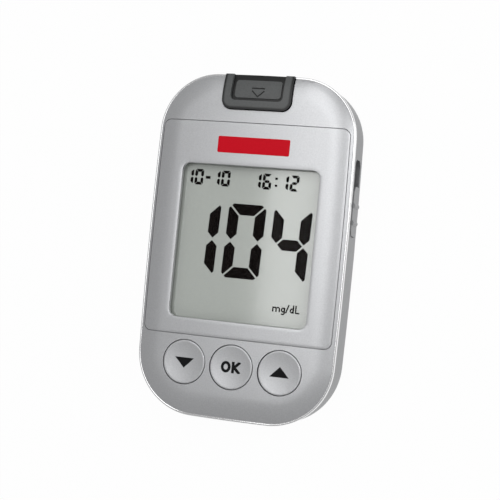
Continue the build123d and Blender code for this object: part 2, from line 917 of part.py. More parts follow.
def segment(name, width, height, stroke, gap):
    """One segment of a figure with its centre at 0, 0."""
    x = width / 2
    y = height / 2
    mitre = gap * 0.7
    blunt = stroke * 0.16
    if name in "ad":
        points = [
            (-x + mitre + 2 * blunt, y),
            (x - mitre - 2 * blunt, y),
            (x - mitre - blunt, y - blunt),
            (x - mitre - stroke, y - stroke),
            (-x + mitre + stroke, y - stroke),
            (-x + mitre + blunt, y - blunt),
        ]
        flip = (1, 1) if name == "a" else (1, -1)
    elif name == "g":
        points = [
            (-x + stroke / 2 + mitre, 0),
            (-x + stroke + mitre, stroke / 2),
            (x - stroke - mitre, stroke / 2),
            (x - stroke / 2 - mitre, 0),
            (x - stroke - mitre, -stroke / 2),
            (-x + stroke + mitre, -stroke / 2),
        ]
        flip = (1, 1)
    else:
        points = [
            (x, y - mitre - 2 * blunt),
            (x - blunt, y - mitre - blunt),
            (x - stroke, y - mitre - stroke),
            (x - stroke, mitre + stroke / 2),
            (x - stroke / 2, mitre),
            (x, mitre + stroke / 2),
        ]
        flip = {"b": (1, 1), "c": (1, -1), "f": (-1, 1), "e": (-1, -1)}[name]
    return [(px * flip[0], py * flip[1]) for px, py in points]


def leaned(points, x, y):
    """Points moved to their place, with the slight lean of the figures."""
    lean = math.tan(math.radians(figure_lean))
    return [(x + px + py * lean, y + py) for px, py in points]


def figure(sign, x, y, width, height, stroke, gap):
    """Plan of one seven-segment figure."""
    drawn = []
    for name in figures[sign]:
        points = leaned(segment(name, width, height, stroke, gap), x, y)
        drawn.append(make_face(Polyline(*points, close=True)))
    return drawn


# The letters of the unit, mg/dL, as strokes in a frame whose letter height is 1. A ring is given by
# its middle, half width and half height.
unit_strokes = [
    [(0, 0), (0, 0.62)],
    [(0, 0.46), (0.12, 0.545), (0.3, 0.545), (0.42, 0.44), (0.42, 0)],
    [(0.42, 0.46), (0.54, 0.545), (0.72, 0.545), (0.84, 0.44), (0.84, 0)],
    [(1.485, 0.62), (1.485, -0.12), (1.35, -0.24), (1.08, -0.2)],
    [(1.66, -0.05), (2.02, 1)],
    [(2.605, 0), (2.605, 1)],
    [(2.92, 1), (2.92, 0.075), (3.4, 0.075)],
]
unit_rings = [(1.3, 0.31, 0.26, 0.31), (2.42, 0.31, 0.26, 0.31)]
unit_stroke_width = 0.17
unit_groups = [(0, 1, 2), (3, "ring 0"), (4,), (5, "ring 1"), (6,)]


def unit_letters(x, y, size):
    """The unit of the reading, one plan per letter, from its left end on the base line."""
    width = unit_stroke_width * size
    pieces = {}
    for index, points in enumerate(unit_strokes):
        pieces[index] = pen([(x + px * size, y + py * size) for px, py in points], width)
    for index, (ring_x, ring_y, half_width, half_height) in enumerate(unit_rings):
        middle = (x + ring_x * size, y + ring_y * size)
        pieces["ring " + str(index)] = ring(*middle, half_width * size, half_height * size, width)
    letters = []
    for group in unit_groups:
        letter = Sketch()
        for key in group:
            letter += pieces[key]
        letters.append(letter)
    return letters


def small_line(text, x):
    """Plans of the small figures and marks of one line, from its left end."""
    y = small_figure_y
    plans = []
    for sign in text:
        if sign == "-":
            plans.append(Pos(x - mark_back, y) * Rectangle(dash_width, small_stroke))
        elif sign == ":":
            for up in (-1, 1):
                plans.append(Pos(x - mark_back, y + up * dot_rise) * Rectangle(dot_size, dot_size))
        else:
            plans += figure(sign, x, y, small_width, small_height, small_stroke, small_gap)
        x += figure_step if sign in figures else mark_step
    return plans


def make_segments():
    plans = []
    for index, sign in enumerate("104"):
        x = large_figure_x + (index - 1) * large_figure_pitch
        plans += figure(sign, x, large_figure_y, large_width, large_height, large_stroke, large_gap)
    plans += small_line("10-10", date_x)
    plans += small_line("16:12", time_x)
    plans += unit_letters(unit_x, unit_y, unit_size)
    return Compound([slab(plan, (segment_z, front_glass_z)).solid() for plan in plans])


# ---------------------------------------------------------------- board
def make_board():
    z = (board_bottom_z, board_top_z)
    body = box((board_left_x, board_right_x), (keypad_bottom_y, board_shoulder_y), z)
    body += mirrored(board_neck, (board_shoulder_y - merge, board_top_y), z)
    body += mirrored(-board_left_x, (keypad_bottom_y, board_notch_y), z)
    for x, y in board_screw_spots:
        body -= rod(x, y, board_screw_radius + slide_gap, (0, case_height))
    return body


def make_microcontroller():
    x, y = chip_spot
    middle_z = board_bottom_z - chip_lift - chip_height / 2
    body = Pos(x, y, middle_z) * Box(chip_size, chip_size, chip_height)
    span = chip_size + 2 * chip_leg_reach
    leg_z = board_bottom_z - chip_leg_height / 2
    for step in range(chip_legs):
        along = (step - (chip_legs - 1) / 2) * chip_leg_pitch
        body += Pos(x, y + along, leg_z) * Box(span, chip_leg_width, chip_leg_height)
        body += Pos(x + along, y, leg_z) * Box(chip_leg_width, span, chip_leg_height)
    return body


def make_board_components():
    blocks = []
    for x, y, length, width, height in component_list:
        blocks.append(Pos(x, y, board_bottom_z - height / 2) * Box(length, width, height))
    return Compound(blocks)


def make_buzzer():
    x, y = buzzer_spot
    low_z = board_bottom_z - buzzer_height
    body = rod(x, y, buzzer_radius, (low_z, board_bottom_z))
    return body - rod(x, y, buzzer_hole_radius, (0, low_z + buzzer_hole_depth))


def screws(spots, radius, head_radius, head_height, seat_z, length):
    """Screws that are driven upwards, with a cross recess in each head."""
    group = []
    for x, y in spots:
        body = rod(x, y, radius, (seat_z - merge, seat_z + length))
        body += rod(x, y, head_radius, (seat_z - head_height, seat_z))
        for turn in (0, 90):
            slot = Box(head_radius * cross_reach, cross_width, head_height)
            body -= Pos(x, y, seat_z - head_height) * Rot(0, 0, turn) * slot
        group.append(body.solid())
    return Compound(group)


def make_housing_screws():
    head = (screw_head_radius, screw_head_height)
    return screws(housing_screw_spots, screw_radius, *head, head_seat_z, screw_length)


def make_board_screws():
    head = (board_screw_head_radius, board_screw_head_height)
    length = board_thickness + board_screw_reach
    return screws(board_screw_spots, board_screw_radius, *head, board_bottom_z, length)


# ---------------------------------------------------------------- strip connector
def make_strip_connector():
    y = (connector_back_y, connector_front_y)
    body = mirrored(connector_half_width, y, (board_top_z, board_top_z + connector_height))
    slot_y = (connector_back_y - open_end, connector_front_y + open_end)
    body -= mirrored(strip_half_width, slot_y, (channel_z, channel_z + strip_slot))
    for x in contact_places:
        body -= contact_blade(x, connector_back_y - open_end)
    return body


def contact_blade(x, low_y):
    """Strip of a contact that lies in the floor of the channel."""
    y = (low_y, connector_front_y - contact_setback)
    half = contact_blade_width / 2
    return box((x - half, x + half), y, (channel_z - contact_blade_depth, channel_z))


def make_strip_contacts():
    contacts = []
    y = connector_back_y
    half = contact_blade_width / 2
    for x in contact_places:
        width = (x - half, x + half)
        contact = contact_blade(x, y - contact_leg)
        contact += box(width, (y - contact_leg, y), (board_top_z, channel_z))
        foot_z = (board_top_z, board_top_z + contact_foot_thickness)
        contact += box(width, (y - contact_foot, y), foot_z)
        contacts.append(contact.solid())
    return Compound(contacts)


# ---------------------------------------------------------------- keypad and buttons
def make_keypad_sheet():
    z = (board_top_z, board_top_z + sheet_thickness)
    half = button_pitch + dome_radius + sheet_margin
    body = mirrored(half, (keypad_bottom_y, keypad_top_y), z)
    for x in button_places:
        body -= rod(x, button_y, dome_radius - dome_wall, (0, case_height))
    return body


def make_switch_pads():
    pads = []
    z = (board_top_z, board_top_z + pad_thickness)
    split_y = (button_y - 2 * pad_radius, button_y + 2 * pad_radius)
    for x in button_places:
        split = box((x - pad_split / 2, x + pad_split / 2), split_y, (0, case_height))
        pads += (rod(x, button_y, pad_radius, z) - split).solids()
    return Compound(pads)


def make_key_dome(x):
    base_z = board_top_z + sheet_thickness
    hollow = dome_height - dome_roof
    outer = Cone(dome_radius, dome_radius - dome_taper, dome_height)
    inner = Cone(dome_radius - dome_wall, dome_radius - dome_taper - dome_wall, hollow)
    body = Pos(x, button_y, base_z + dome_height / 2) * outer
    body -= Pos(x, button_y, base_z + hollow / 2) * inner
    pill_z = (board_top_z + pad_thickness + button_travel, base_z + hollow + dome_roof / 2)
    return body + rod(x, button_y, pill_radius, pill_z)


def cap_blank(x):
    """Button cap before its legend is let in: a dished disc on a flange with a key."""
    top = case_height - face_drop(x)
    body = rod(x, button_y, button_radius, (button_bottom_z, top))
    body = fillet(body.edges().sort_by(Axis.Z)[-1], button_edge)
    dish = Pos(x, button_y, top - dish_depth + dish_radius) * Sphere(dish_radius)
    return body - dish


def legend_plan(kind):
    """Plan of a legend with its centre at 0, 0."""
    half = letter_height / 2
    if kind == "ok":
        letter_o = ring(-(letter_gap + letter_width) / 2, 0, letter_width / 2, half, legend_stroke)
        near = letter_gap / 2
        far = near + letter_width
        stem_x = near + legend_stroke / 2
        stem = pen([(stem_x, -half), (stem_x, half)], legend_stroke)
        arm_x = far - legend_stroke / 2
        arms = pen([(arm_x, half), (stem_x + arm_spread, 0), (arm_x, -half)], legend_stroke)
        frame = Pos((near + far) / 2, 0) * Rectangle(letter_width, letter_height)
        return letter_o + ((stem + arms) & frame)
    way = 1 if kind == "up" else -1
    tip = way * (arrow_lead + arrow_height / 2)
    base = way * (arrow_lead - arrow_height / 2)
    points = [(-arrow_half_width, base), (arrow_half_width, base), (0, tip)]
    return make_face(Polyline(*points, close=True))


def make_legend(kind, x):
    cap = cap_blank(x)
    prism = slab(Pos(x, button_y) * legend_plan(kind), (skin_z, case_height))
    legend = (cap & prism) - Pos(0, 0, -legend_depth) * cap
    return Compound(legend.solids())


def make_button(kind, x):
    body = cap_blank(x)
    flange_radius = button_radius + button_flange
    z = (button_bottom_z, skin_z - face_drop(button_pitch + flange_radius) - guide_gap)
    body += rod(x, button_y, flange_radius, z)
    key_y = (button_y - hole_radius - button_flange - key_length, button_y)
    body += box((x - key_width / 2, x + key_width / 2), key_y, z)
    return body - make_legend(kind, x)


# ---------------------------------------------------------------- ejector
def make_ejector_slider():
    middle_y = slider_y + slider_length / 2
    face_x = case_half_width + slider_proud
    plan = RectangleRounded(slider_length, slider_height, slot_corner - slide_gap)
    body = side_prism(plan, middle_y, (shutter_outer_x, face_x))
    rib_radius = (rib_width**2 / 4 + rib_proud**2) / (2 * rib_proud)
    middle_z = (slot_top_z + slot_bottom_z) / 2
    for side in (-1, 1):
        y = rib_y + side * rib_pitch / 2
        rib = Cylinder(rib_radius, slider_height - 2 * rib_setback)
        body += Pos(face_x + rib_proud - rib_radius, y, middle_z) * rib
        body += cross_rod((shutter_inner_x, shutter_outer_x + merge), y, pin_radius, middle_z)
    return body


def make_ejector_carriage():
    shutter_z = (slot_bottom_z - shutter_overlap, slot_top_z + shutter_overlap)
    shutter_y = (slot_bottom_y - shutter_overlap - eject_travel, slot_top_y + shutter_overlap)
    body = box((shutter_inner_x, shutter_outer_x), shutter_y, shutter_z)
    middle_z = (slot_top_z + slot_bottom_z) / 2
    hole_x = (shutter_inner_x - open_end, shutter_outer_x + open_end)
    for side in (-1, 1):
        y = rib_y + side * rib_pitch / 2
        body -= cross_rod(hole_x, y, pin_radius + pin_gap, middle_z)
    lug_y = (coil_bottom_y - spring_seat, coil_bottom_y)
    body += box((coil_x - return_coil_radius, shutter_inner_x), lug_y, (lug_z, lug_top_z))
    body += spring_pin((coil_bottom_y - spring_pin_root, coil_bottom_y + spring_pin_reach))
    arm_end_y = arm_y + arm_width
    arm_top_z = arm_z + arm_thickness
    body += box((leg_x, shutter_inner_x), (arm_y - leg_run, arm_end_y), (lug_z, lug_top_z))
    body += box((leg_x, leg_x + leg_width), (arm_y, arm_end_y), (lug_z, arm_top_z))
    body += box((-arm_width, leg_x + leg_width), (arm_y, arm_end_y), (arm_z, arm_top_z))
    pusher_y = (arm_end_y - merge, connector_back_y - pusher_gap)
    pusher_z = (channel_z + pusher_play, channel_z + strip_slot - pusher_play)
    return body + mirrored(pusher_half_width, pusher_y, pusher_z)


def coil(radius, wire, length, turns):
    """Coil spring along Z from 0, with its outer radius and its wire's diameter."""
    rise = length - wire
    path = Helix(rise / turns, rise, radius - wire / 2)
    section = Plane(origin=path @ 0, z_dir=path % 0) * Circle(wire / 2)
    return Pos(0, 0, wire / 2) * sweep(section, path=path, is_frenet=True)


def make_ejector_spring():
    spring = coil(return_coil_radius, return_wire, coil_length, return_turns)
    return Pos(coil_x, coil_bottom_y, coil_z) * Rot(-90, 0, 0) * spring


# ---------------------------------------------------------------- battery
def cell_end(side):
    """Where a cell's positive end touches its contact, on one side of the bay."""
    return side * (bay_half - contact_sheet - contact_bump)


def cell_reach(side, near, far):
    """Limits along X of a stretch of a cell, measured back from its positive end."""
    return sorted((cell_end(side) - side * near, cell_end(side) - side * far))


def make_battery_cell(side, y):
    can_radius = cell_diameter / 2 - sleeve
    body = cross_rod(cell_reach(side, nub_length, cell_length), y, can_radius, cell_z)
    return body + cross_rod(cell_reach(side, 0, nub_length + merge), y, nub_radius, cell_z)


def make_battery_sleeve(side, y):
    reach = cell_reach(side, nub_length + sleeve_setback, cell_length - sleeve_setback)
    body = cross_rod(reach, y, cell_diameter / 2, cell_z)
    hollow = (reach[0] - open_end, reach[1] + open_end)
    return body - cross_rod(hollow, y, cell_diameter / 2 - sleeve, cell_z)


def contact_plate(side, low_y, high_y):
    """Sheet that stands against one end wall of the bay."""
    x = sorted((side * (bay_half - contact_sheet), side * bay_half))
    y = (low_y - contact_width / 2, high_y + contact_width / 2)
    return box(x, y, (cell_z - contact_width / 2, cell_z + contact_width / 2))


def contact_dimple(side, y):
    reach = cell_reach(side, -contact_bump, 0)
    return cross_rod(reach, y, nub_radius - contact_bump_inset, cell_z)


def make_positive_contact():
    y = upper_cell_y
    return contact_plate(1, y, y) + contact_tail(y, 0) + tail_root(y) + contact_dimple(1, y)


def tail_root(y):
    """Stretch between an end contact's sheet and its tail."""
    half = contact_tail_width / 2
    return box((bay_half - contact_sheet, bay_half), (y - half, y + half), (cell_z, bay_top_z))


def make_negative_contact():
    y = lower_cell_y
    return contact_plate(1, y, y) + contact_tail(y, 0) + tail_root(y)


def make_bridge_contact():
    return contact_plate(-1, lower_cell_y, upper_cell_y) + contact_dimple(-1, lower_cell_y)


def make_battery_springs():
    springs = []
    for side, y in ((1, lower_cell_y), (-1, upper_cell_y)):
        spring = coil(battery_coil_radius, battery_wire, spring_room, battery_turns)
        place = Pos(side * (bay_half - contact_sheet), y, cell_z) * Rot(0, -90 * side, 0)
        springs.append((place * spring).solid())
    return Compound(springs)


def make_rating_label():
    z = (label_sink, label_sink + label_thickness)
    return slab(rounded(rating_width, rating_height, rating_corner, 0, rating_y), z)


# ---------------------------------------------------------------- write every node
os.makedirs("parts", exist_ok=True)
nodes = {
    "front_shell": make_front_shell(),
    "rear_shell": make_rear_shell(),
    "face_panel": make_face_panel(),
    "display_window": make_display_window(),
    "front_label": make_front_label(),
    "strip_port_guide": make_strip_port_guide(),
    "lcd_gasket": make_lcd_gasket(),
    "lcd_front_glass": make_front_glass(),
    "lcd_segments": make_segments(),
    "lcd_rear_glass": make_rear_glass(),
    "lcd_reflector": make_reflector(),
    "lcd_holder": make_lcd_holder(),
    "zebra_connector": make_zebra(),
    "main_board": make_board(),
    "microcontroller": make_microcontroller(),
    "board_components": make_board_components(),
    "buzzer": make_buzzer(),
    "board_screws": make_board_screws(),
    "housing_screws": make_housing_screws(),
    "strip_connector": make_strip_connector(),
    "strip_contacts": make_strip_contacts(),
    "keypad_sheet": make_keypad_sheet(),
    "switch_pads": make_switch_pads(),
    "ejector_slider": make_ejector_slider(),
    "ejector_carriage": make_ejector_carriage(),
    "ejector_spring": make_ejector_spring(),
    "battery_cell_upper": make_battery_cell(1, upper_cell_y),
    "battery_cell_lower": make_battery_cell(-1, lower_cell_y),
    "battery_sleeve_upper": make_battery_sleeve(1, upper_cell_y),
    "battery_sleeve_lower": make_battery_sleeve(-1, lower_cell_y),
    "battery_positive_contact": make_positive_contact(),
    "battery_negative_contact": make_negative_contact(),
    "battery_bridge_contact": make_bridge_contact(),
    "battery_springs": make_battery_springs(),
    "battery_cover": make_battery_cover(),
    "rating_label": make_rating_label(),
}
for kind, x in zip(("down", "ok", "up"), button_places):
    nodes["button_" + kind] = make_button(kind, x)
    nodes["legend_" + kind] = make_legend(kind, x)
    nodes["key_dome_" + kind] = make_key_dome(x)
for name, shape in nodes.items():
    save(name, shape)
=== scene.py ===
import math

import bpy
import numpy as np
from mathutils import Matrix, Vector
from mathutils.geometry import delaunay_2d_cdt


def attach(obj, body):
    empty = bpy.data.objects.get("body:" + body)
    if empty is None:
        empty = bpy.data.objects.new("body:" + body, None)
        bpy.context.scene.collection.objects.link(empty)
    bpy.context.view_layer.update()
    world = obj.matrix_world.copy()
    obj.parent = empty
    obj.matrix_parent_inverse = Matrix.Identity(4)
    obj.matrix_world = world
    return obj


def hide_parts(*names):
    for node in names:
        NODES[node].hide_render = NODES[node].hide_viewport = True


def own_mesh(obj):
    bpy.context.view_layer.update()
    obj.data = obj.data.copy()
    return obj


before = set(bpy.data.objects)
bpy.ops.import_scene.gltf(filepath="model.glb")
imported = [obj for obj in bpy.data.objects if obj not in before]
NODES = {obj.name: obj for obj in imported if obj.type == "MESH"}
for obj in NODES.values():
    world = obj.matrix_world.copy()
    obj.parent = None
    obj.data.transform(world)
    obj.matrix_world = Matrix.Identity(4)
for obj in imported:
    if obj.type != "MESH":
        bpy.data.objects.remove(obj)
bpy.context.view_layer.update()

# Metres in a millimetre.
MM = 0.001

# Sizes of the case in millimetres, as the CAD model has them. Z = 0 is the surface below.
HALF_WIDTH = 28.9
TOP_Y = 48.4
SIDE_BOW = 0.8
END_BOW = 0.6
HEAD_CORNER = 16.6
CHIN_CORNER = 17.8
FACE_Z = 20.0
CROWN_RADIUS = 650.0
ROLL_RADIUS = 16.0
ROLL_WIDTH = 7.4
SIDE_RADIUS = ((TOP_Y - END_BOW) ** 2 + SIDE_BOW**2) / (2 * SIDE_BOW)
END_RADIUS = ((HALF_WIDTH - SIDE_BOW) ** 2 + END_BOW**2) / (2 * END_BOW)


# ---------------------------------------------------------------- camera
def add_camera():
    """Camera above the meter and a little to its right, with a long lens."""
    place = Vector((95.15, -7.67, 327.2)) * MM
    back = Vector((0.28942, -0.02216, 0.95695)).normalized()
    right = Vector((0.95328, 0.09713, -0.28606))
    right = (right - back * right.dot(back)).normalized()
    up = back.cross(right)
    turn = Matrix((right, up, back)).transposed().to_4x4()
    data = bpy.data.cameras.new("camera")
    data.lens = 83.5
    data.sensor_width = 36.0
    data.clip_start = 0.01
    camera = bpy.data.objects.new("camera", data)
    camera.matrix_world = Matrix.Translation(place) @ turn
    bpy.context.scene.collection.objects.link(camera)
    bpy.context.scene.camera = camera


# ---------------------------------------------------------------- materials
def linear(code):
    """Hex sRGB colour as a linear one, opaque."""
    parts = np.array([int(code[i : i + 2], 16) for i in (1, 3, 5)]) / 255
    low = parts / 12.92
    high = ((parts + 0.055) / 1.055) ** 2.4
    return tuple(float(v) for v in np.where(parts <= 0.04045, low, high)) + (1.0,)


def add(tree, kind, values=None, links=None, **settings):
    """One node with its settings, socket values and incoming links."""
    node = tree.nodes.new(kind)
    for name, value in settings.items():
        setattr(node, name, value)
    for socket, value in (values or {}).items():
        node.inputs[socket].default_value = value
    for socket, source in (links or {}).items():
        tree.links.new(source, node.inputs[socket])
    return node


def material(name, colour, roughness, metallic=0.0, ior=1.5, alpha=1.0):
    """Material with one Principled shader, whose values are set on its own sockets."""
    made = bpy.data.materials.new(name)
    made.use_nodes = True
    shader = made.node_tree.nodes["Principled BSDF"]
    values = {"Base Color": linear(colour), "Roughness": roughness, "Metallic": metallic}
    values.update({"IOR": ior, "Alpha": alpha})
    for socket, value in values.items():
        shader.inputs[socket].default_value = value
    return made


def speckle(made, scale_mm, dark, light, strength=0.0, depth_mm=0.02, detail=2.0, spread=0.25):
    """Fine colour variation and bump between two colours, from noise of a size in millimetres."""
    tree = made.node_tree
    shader = tree.nodes["Principled BSDF"]
    place = add(tree, "ShaderNodeTexCoord")
    noise = add(
        tree,
        "ShaderNodeTexNoise",
        {"Scale": 1000.0 / scale_mm, "Detail": detail, "Roughness": 0.6},
        {"Vector": place.outputs["Object"]},
    )
    ramp = add(tree, "ShaderNodeValToRGB", links={"Fac": noise.outputs["Fac"]})
    ramp.color_ramp.elements[0].position = 0.5 - spread
    ramp.color_ramp.elements[1].position = 0.5 + spread
    ramp.color_ramp.elements[0].color = linear(dark)
    ramp.color_ramp.elements[1].color = linear(light)
    tree.links.new(ramp.outputs["Color"], shader.inputs["Base Color"])
    if strength:
        bump = add(
            tree,
            "ShaderNodeBump",
            {"Strength": strength, "Distance": depth_mm * MM},
            {"Height": noise.outputs["Fac"]},
        )
        tree.links.new(bump.outputs["Normal"], shader.inputs["Normal"])
    return made


def shaded(made, level, deep):
    """Base colour that falls to a deep one as a level goes from 0 to 1."""
    tree = made.node_tree
    shader = tree.nodes["Principled BSDF"]
    before = shader.inputs["Base Color"].links[0].from_socket
    mix = add(
        tree,
        "ShaderNodeMixRGB",
        {"Color2": linear(deep)},
        {"Fac": level, "Color1": before},
    )
    tree.links.new(mix.outputs["Color"], shader.inputs["Base Color"])
    return made


def sunk_level(made, low_mm, high_mm):
    """From 0 to 1 as the attribute sunk, a depth under the rim in millimetres, passes two depths."""
    tree = made.node_tree
    depth = add(tree, "ShaderNodeAttribute", attribute_name="sunk")
    level = add(
        tree,
        "ShaderNodeMapRange",
        {"From Min": low_mm, "From Max": high_mm},
        {"Value": depth.outputs["Fac"]},
    )
    return level.outputs["Result"]


def border_level(made, half_width, low_y, radius, inner_mm, outer_mm):
    """From 0 to 1 towards the outline of a rounded tongue, by distance from its corner centres."""
    tree = made.node_tree
    place = add(tree, "ShaderNodeTexCoord")
    split = add(tree, "ShaderNodeSeparateXYZ", links={0: place.outputs["Object"]})
    across = add(tree, "ShaderNodeMath", links={0: split.outputs["X"]}, operation="ABSOLUTE")
    out_x = add(
        tree,
        "ShaderNodeMath",
        {1: (half_width - radius) * MM},
        {0: across.outputs[0]},
        operation="SUBTRACT",
    )
    out_y = add(
        tree,
        "ShaderNodeMath",
        {0: (low_y + radius) * MM},
        {1: split.outputs["Y"]},
        operation="SUBTRACT",
    )
    pair = add(tree, "ShaderNodeCombineXYZ", links={0: out_x.outputs[0], 1: out_y.outputs[0]})
    past = add(
        tree,
        "ShaderNodeVectorMath",
        {1: (0, 0, 0)},
        {0: pair.outputs[0]},
        operation="MAXIMUM",
    )
    reach = add(tree, "ShaderNodeVectorMath", links={0: past.outputs[0]}, operation="LENGTH")
    level = add(
        tree,
        "ShaderNodeMapRange",
        {"From Min": (radius - inner_mm) * MM, "From Max": (radius - outer_mm) * MM},
        {"Value": reach.outputs["Value"]},
    )
    return level.outputs["Result"]


# Metallic silver paint on ABS, sprayed: satin, with a flake that is far finer than it is drawn here.
SILVER = speckle(
    material("silver_paint", "#c6c7c9", 0.36, metallic=0.72), 0.35, "#bfc0c2", "#cdced0"
)
# The same paint, flatter, on the rear half, the slider and the cover; its darker colour is painted
# shade.
SILVER_BACK = speckle(
    material("silver_paint_back_painted_shade", "#929394", 0.42, metallic=0.55), 0.35, "#8c8d8f", "#98999a"
)
# Moulded ABS in dark grey, lightly spark-eroded. Its grooves and its outer edge get painted shade, near
# black.
DARK = speckle(material("dark_abs", "#555757", 0.38), 0.5, "#505252", "#5a5c5c", strength=0.25)
# Painted shade: near black towards the outline of the guide, by distance from its corner centres.
PORT_EDGE_SHADE = border_level(
    DARK, half_width=10.0, low_y=38.4, radius=2.6, inner_mm=0.85, outer_mm=0.35
)
DARK = shaded(DARK, PORT_EDGE_SHADE, "#0b0c0c")
# Painted shade: near black in the grooves, by their depth under the rim.
DARK = shaded(DARK, sunk_level(DARK, low_mm=1.1, high_mm=1.2), "#0e0f0f")
# Raised edge round the face: a polished bead, mirroring more sharply; its paler colour is painted
# highlight.
BRIGHT = speckle(material("polished_edge_painted_highlight", "#efeff0", 0.14, metallic=0.85), 0.35, "#ececed", "#f2f2f3")
# Moulded black ABS, of the parts inside that have no coat.
BLACK = speckle(material("black_abs", "#151516", 0.5), 0.5, "#121213", "#19191a", strength=0.2)
# Clear acrylic of the window, hard coated against glare: see-through by alpha, which also
# weakens its mirror, so the IOR of the top is raised until a faint sheen is left.
LENS_TOP = material("coated_acrylic", "#242625", 0.02, ior=2.4, alpha=0.02)
LENS_BODY = material("clear_acrylic", "#303231", 0.05, ior=1.49, alpha=0.02)
# Thin glass of the display, with almost nothing of its own to see.
GLASS = material("display_glass", "#303231", 0.06, ior=1.5, alpha=0.01)
# Transflective film bonded to the rear glass: grey-green, and half a mirror, which its raised
# IOR gives, so that a lamp overhead draws a lighter field on it.
FILM = speckle(material("transflective_film", "#d2d8d1", 0.09, ior=2.35), 0.6, "#cfd5ce", "#d5dbd4")
# Liquid crystal in its dark state. It lies between two glasses with no air, so it hardly mirrors.
INK = speckle(material("dark_crystal", "#110b0a", 0.6, ior=1.1), 0.6, "#0f0a09", "#130d0c")
# Moulded ABS of the carriage, which closes the slot behind the slider: paler than the black.
SHUTTER = speckle(material("shutter_abs", "#2c2d2e", 0.5), 0.5, "#292a2b", "#303132", strength=0.2)
# Printed inks of the legends and of the plate in the head, with little gloss.
PRINT = speckle(material("pad_print", "#121214", 0.5, ior=1.2), 0.4, "#101012", "#151517")
RED = speckle(material("red_print", "#d50820", 0.5, ior=1.2), 0.4, "#d1071e", "#d90922")
# The label on the back, and what lies inside: rubber, foam, board, metal and cell sleeves.
LABEL = speckle(material("label_film", "#d9dadb", 0.5), 0.8, "#d5d6d7", "#dddedf")
RUBBER = speckle(material("silicone_rubber", "#9a9c9e", 0.6), 0.6, "#949698", "#a0a2a4")
FOAM = speckle(material("foam_gasket", "#a9aca8", 0.8), 0.3, "#a2a5a1", "#b0b3af")
BOARD = speckle(material("solder_mask", "#1d5a33", 0.35), 0.8, "#1a542f", "#206038")
STEEL = speckle(material("nickel_plate", "#c9c9c8", 0.25, metallic=1.0), 0.3, "#c2c2c1", "#d0d0cf")
GILT = speckle(material("gold_plate", "#d9b25c", 0.3, metallic=1.0), 0.3, "#d3ab55", "#dfb963")
SLEEVE = speckle(material("cell_sleeve", "#3a3f4a", 0.3), 0.8, "#363b46", "#3f444f")

NODE_MATERIALS = {
    SILVER: ("front_shell", "face_panel", "button_down", "button_ok", "button_up"),
    SILVER_BACK: ("rear_shell", "ejector_slider", "battery_cover"),
    DARK: ("strip_port_guide",),
    SHUTTER: ("ejector_carriage",),
    BLACK: ("lcd_holder", "microcontroller", "board_components", "buzzer", "strip_connector"),
    LENS_BODY: ("display_window",),
    GLASS: ("lcd_front_glass",),
    FILM: ("lcd_reflector", "lcd_rear_glass"),
    INK: ("lcd_segments",),
    PRINT: ("legend_down", "legend_ok", "legend_up"),
    RED: ("front_label",),
    LABEL: ("rating_label",),
    RUBBER: ("keypad_sheet", "zebra_connector", "key_dome_down", "key_dome_ok", "key_dome_up"),
    FOAM: ("lcd_gasket",),
    BOARD: ("main_board",),
    STEEL: (
        "board_screws",
        "housing_screws",
        "ejector_spring",
        "battery_cell_upper",
        "battery_cell_lower",
        "battery_positive_contact",
        "battery_negative_contact",
        "battery_bridge_contact",
        "battery_springs",
    ),
    GILT: ("strip_contacts", "switch_pads"),
    SLEEVE: ("battery_sleeve_upper", "battery_sleeve_lower"),
}
for finish, names in NODE_MATERIALS.items():
    for name in names:
        mesh = NODES[name].data
        mesh.materials.clear()
        mesh.materials.append(finish)


# ---------------------------------------------------------------- form of the case
def side_meeting(distance):
    """Corner where the bowed sides would meet, once they are moved in by a distance.

    Two circles, one through the end and one through the side, meet at a point that lies
    along the line between their centres by (end^2 - side^2 + apart^2) / (2 apart).
    """
    end = END_RADIUS - distance
    side = SIDE_RADIUS - distance
    end_y = TOP_Y - END_RADIUS
    side_x = HALF_WIDTH - SIDE_RADIUS
    apart = math.hypot(side_x, end_y)
    along = (end**2 - side**2 + apart**2) / (2 * apart)
    off = math.sqrt(end**2 - along**2)
    x = (along * side_x - off * end_y) / apart
    y = end_y - (along * end_y + off * side_x) / apart
    return x, y


def edge_field(x, y):
    """Distance in from the outline of the case, and the X part of the outward direction.

    Beside a rounded corner it is measured from that corner's centre, elsewhere from the
    centre of the bowed side or of the bowed end, whichever outline is nearer.
    """
    across = np.abs(x)
    upward = np.abs(y)
    side_x = HALF_WIDTH - SIDE_RADIUS
    end_y = TOP_Y - END_RADIUS
    side_reach = np.hypot(across - side_x, y)
    end_reach = np.hypot(x, upward - end_y)
    side_in = SIDE_RADIUS - side_reach
    end_in = END_RADIUS - end_reach
    inward = np.minimum(side_in, end_in)
    outward_x = np.where(side_in < end_in, (across - side_x) / side_reach, across / end_reach)
    for radius, upper in ((HEAD_CORNER, True), (CHIN_CORNER, False)):
        corner_x, corner_y = side_meeting(radius)
        reach = np.hypot(across - corner_x, upward - corner_y)
        at_corner = (across > corner_x) & (upward > corner_y) & ((y > 0) == upper)
        inward = np.where(at_corner, radius - reach, inward)
        outward_x = np.where(at_corner, (across - corner_x) / np.maximum(reach, 1e-9), outward_x)
    return inward, outward_x * np.sign(x)


def face_height(x, y):
    """Height of the face: a crown of radius 650 that rolls over, radius 16, near the outline.

    Past the roll's start by s, the surface is the rolling ball's centre, which lies on a
    cylinder of radius 650 - 16, plus sqrt(16^2 - s^2).
    """
    inward, outward_x = edge_field(x, y)
    past = np.clip(ROLL_WIDTH - inward, 0.0, ROLL_RADIUS)
    base_x = x - past * outward_x
    inner = CROWN_RADIUS - ROLL_RADIUS
    centre = FACE_Z - CROWN_RADIUS + np.sqrt(inner**2 - base_x**2)
    return centre + np.sqrt(ROLL_RADIUS**2 - past**2)


# ---------------------------------------------------------------- surfaces
def vertex_spots(mesh):
    """Places of a mesh's points, in metres."""
    spots = np.empty(len(mesh.vertices) * 3)
    mesh.vertices.foreach_get("co", spots)
    return spots.reshape(-1, 3)


